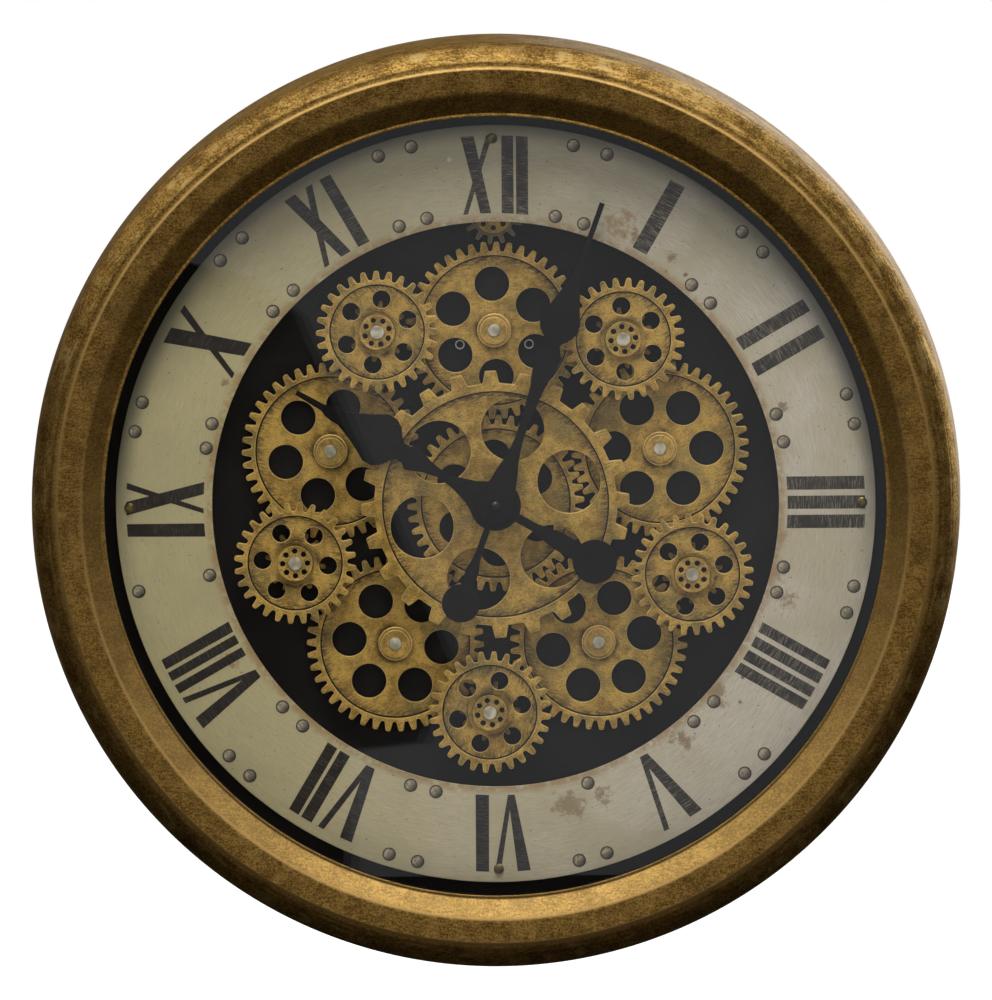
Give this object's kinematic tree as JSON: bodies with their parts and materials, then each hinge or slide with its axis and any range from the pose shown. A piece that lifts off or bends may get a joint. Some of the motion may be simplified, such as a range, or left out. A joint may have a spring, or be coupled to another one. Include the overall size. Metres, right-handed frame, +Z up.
{
  "type": "skeleton wall clock",
  "caption": "Round wall clock with a ring dial, hour and minute hands, and a turning gear train in view behind them under flat glass.",
  "frame": {"origin": "on the axis of the hands, in the plane of the wall behind the clock", "axes": "+Z up, +X to the right as seen from the front, +Y into the wall, so the face looks along -Y"},
  "size_m": [0.4596, 0.071, 0.4596],
  "materials": {
    "bezel_gold": "brushed, antique gold lacquer over dark bronze",
    "gear_gold": "plated antique gold with patina",
    "steel": "zinc plated",
    "brass": "turned",
    "dial_cream": "brushed and printed, aged cream",
    "hand_black": "matte black",
    "plate_black": "matte black",
    "cover_black": "fine grain",
    "movement_black": "satin",
    "cell_wrap": "plain sleeve with no print",
    "glass": "clear, flat"
  },
  "bodies": {
    "case": {"bezel_frame": "bezel_gold", "glass": "glass", "spacer_ring": "plate_black", "dial_ring": "dial_cream", "dial_screw_12": "steel", "dial_screw_9": "steel", "dial_screw_6": "steel", "dial_screw_3": "steel", "base_plate": "plate_black", "back_cover": "cover_black", "back_screw_1": "steel", "back_screw_2": "steel", "back_screw_3": "steel", "back_screw_4": "steel", "hanger_plate": "steel", "movement_case": "movement_black", "movement_nut": "brass", "centre_tube": "brass", "movement_battery": "cell_wrap", "gear_motor": "movement_black", "motor_screw_left": "steel", "motor_screw_right": "steel", "battery_box": "movement_black", "motor_battery_1": "cell_wrap", "motor_battery_2": "cell_wrap", "large_arbor_1": "steel", "large_arbor_2": "steel", "large_arbor_3": "steel", "large_arbor_4": "steel", "large_arbor_5": "steel", "small_arbor_1": "steel", "small_arbor_2": "steel", "small_arbor_3": "steel", "small_arbor_4": "steel", "small_arbor_5": "steel"},
    "centre_train": {"sun_gear": "gear_gold", "centre_gear": "gear_gold"},
    "large_wheel_1": {"large_gear_1": "gear_gold"},
    "large_wheel_2": {"large_gear_2": "gear_gold"},
    "large_wheel_3": {"large_gear_3": "gear_gold"},
    "large_wheel_4": {"large_gear_4": "gear_gold"},
    "large_wheel_5": {"large_gear_5": "gear_gold"},
    "small_wheel_1": {"small_gear_1": "gear_gold", "pinion_1": "gear_gold"},
    "small_wheel_2": {"small_gear_2": "gear_gold", "pinion_2": "gear_gold"},
    "small_wheel_3": {"small_gear_3": "gear_gold", "pinion_3": "gear_gold"},
    "small_wheel_4": {"small_gear_4": "gear_gold", "pinion_4": "gear_gold"},
    "small_wheel_5": {"small_gear_5": "gear_gold", "pinion_5": "gear_gold"},
    "drive": {"drive_pinion": "gear_gold"},
    "minute": {"minute_hand": "hand_black", "minute_arbor": "steel", "hand_nut": "steel"},
    "hour": {"hour_hand": "hand_black", "hour_pipe": "brass"},
    "knob": {"setting_knob": "movement_black"},
    "switch": {"switch_slider": "steel"}
  },
  "joints": [
    {"name": "centre_train_turn", "type": "hinge", "parent": "case", "child": "centre_train", "pos_m": [0, -0.0395, 0], "axis": [0, 1, 0], "continuous": true},
    {"name": "large_wheel_1_turn", "type": "hinge", "parent": "case", "child": "large_wheel_1", "pos_m": [0, -0.0375, 0.08526], "axis": [0, 1, 0], "continuous": true},
    {"name": "large_wheel_2_turn", "type": "hinge", "parent": "case", "child": "large_wheel_2", "pos_m": [0.08109, -0.0375, 0.02635], "axis": [0, 1, 0], "continuous": true},
    {"name": "large_wheel_3_turn", "type": "hinge", "parent": "case", "child": "large_wheel_3", "pos_m": [0.05011, -0.0375, -0.06898], "axis": [0, 1, 0], "continuous": true},
    {"name": "large_wheel_4_turn", "type": "hinge", "parent": "case", "child": "large_wheel_4", "pos_m": [-0.05011, -0.0375, -0.06898], "axis": [0, 1, 0], "continuous": true},
    {"name": "large_wheel_5_turn", "type": "hinge", "parent": "case", "child": "large_wheel_5", "pos_m": [-0.08109, -0.0375, 0.02635], "axis": [0, 1, 0], "continuous": true},
    {"name": "small_wheel_1_turn", "type": "hinge", "parent": "case", "child": "small_wheel_1", "pos_m": [-0.05734, -0.0425, 0.08526], "axis": [0, 1, 0], "continuous": true},
    {"name": "small_wheel_2_turn", "type": "hinge", "parent": "case", "child": "small_wheel_2", "pos_m": [0.06337, -0.0425, 0.08088], "axis": [0, 1, 0], "continuous": true},
    {"name": "small_wheel_3_turn", "type": "hinge", "parent": "case", "child": "small_wheel_3", "pos_m": [0.0965, -0.0425, -0.03527], "axis": [0, 1, 0], "continuous": true},
    {"name": "small_wheel_4_turn", "type": "hinge", "parent": "case", "child": "small_wheel_4", "pos_m": [-0.00373, -0.0425, -0.10268], "axis": [0, 1, 0], "continuous": true},
    {"name": "small_wheel_5_turn", "type": "hinge", "parent": "case", "child": "small_wheel_5", "pos_m": [-0.09881, -0.0425, -0.02819], "axis": [0, 1, 0], "continuous": true},
    {"name": "drive_pinion_turn", "type": "hinge", "parent": "case", "child": "drive", "pos_m": [0, -0.038, 0.1426], "axis": [0, 1, 0], "continuous": true},
    {"name": "minute_hand_turn", "type": "hinge", "parent": "case", "child": "minute", "pos_m": [0, -0.0556, 0], "axis": [0, 1, 0], "continuous": true},
    {"name": "hour_hand_turn", "type": "hinge", "parent": "case", "child": "hour", "pos_m": [0, -0.0522, 0], "axis": [0, 1, 0], "continuous": true},
    {"name": "setting_knob_turn", "type": "hinge", "parent": "case", "child": "knob", "pos_m": [0.012, -0.0116, 0.01], "axis": [0, 1, 0], "continuous": true},
    {"name": "switch_slide", "type": "slide", "parent": "case", "child": "switch", "axis": [0, 0, 1], "range_m": [0, 0.004]}
  ],
  "couplings": [
    {"joint": "large_wheel_1_turn", "follows": "centre_train_turn", "ratio": -1},
    {"joint": "large_wheel_2_turn", "follows": "centre_train_turn", "ratio": -1},
    {"joint": "large_wheel_3_turn", "follows": "centre_train_turn", "ratio": -1},
    {"joint": "large_wheel_4_turn", "follows": "centre_train_turn", "ratio": -1},
    {"joint": "large_wheel_5_turn", "follows": "centre_train_turn", "ratio": -1},
    {"joint": "small_wheel_1_turn", "follows": "centre_train_turn", "ratio": 3},
    {"joint": "small_wheel_2_turn", "follows": "centre_train_turn", "ratio": 3},
    {"joint": "small_wheel_3_turn", "follows": "centre_train_turn", "ratio": 3},
    {"joint": "small_wheel_4_turn", "follows": "centre_train_turn", "ratio": 3},
    {"joint": "small_wheel_5_turn", "follows": "centre_train_turn", "ratio": 3},
    {"joint": "drive_pinion_turn", "follows": "centre_train_turn", "ratio": 3},
    {"joint": "hour_hand_turn", "follows": "minute_hand_turn", "ratio": 0.083333},
    {"joint": "setting_knob_turn", "follows": "minute_hand_turn", "ratio": -1}
  ]
}
